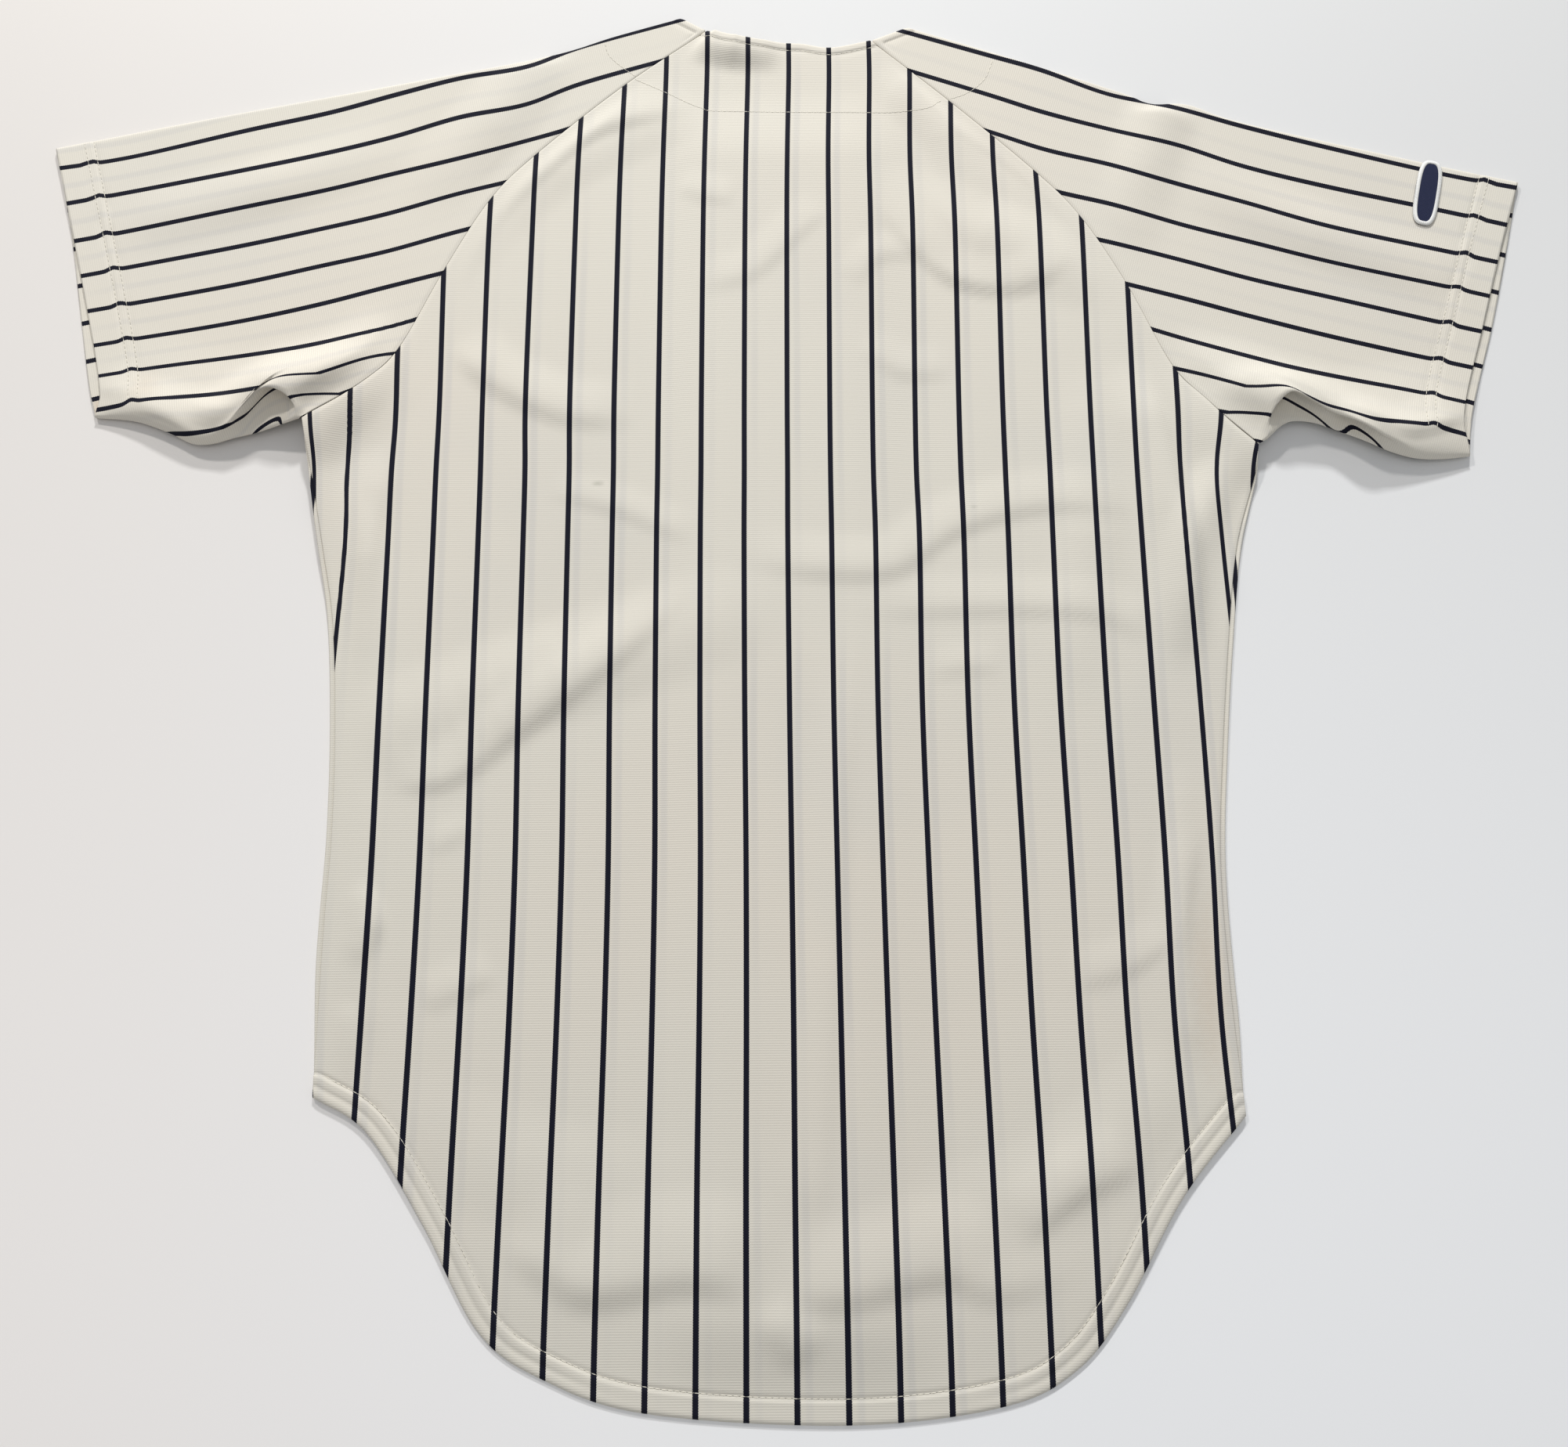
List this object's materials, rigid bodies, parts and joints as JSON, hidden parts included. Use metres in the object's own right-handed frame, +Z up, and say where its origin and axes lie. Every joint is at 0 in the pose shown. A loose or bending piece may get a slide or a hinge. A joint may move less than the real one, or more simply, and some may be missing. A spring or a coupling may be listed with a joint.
{
  "type": "baseball jersey",
  "caption": "Pinstriped short-sleeved raglan jersey with a buttoned front and a shirt-tail hem, laid flat and face down.",
  "frame": {"origin": "bottom centre of the bounding box, on the surface the jersey lies on", "axes": "+X from the wearer's left sleeve to the right one, +Y from the tail to the neck, +Z up, out of the back"},
  "size_m": [0.893, 0.8188, 0.0172],
  "materials": {
    "knit": "off-white ribbed polyester knit with navy pinstripes",
    "patch": "navy embroidery with a white overlocked edge",
    "button": "cream, satin"
  },
  "bodies": {
    "root": {"back_panel": "knit", "front_left": "knit", "front_right": "knit", "sleeve_left": "knit", "sleeve_right": "knit", "sleeve_patch": "patch", "button_1": "button", "button_2": "button", "button_3": "button", "button_4": "button", "button_5": "button", "button_6": "button", "button_7": "button"}
  },
  "joints": []
}
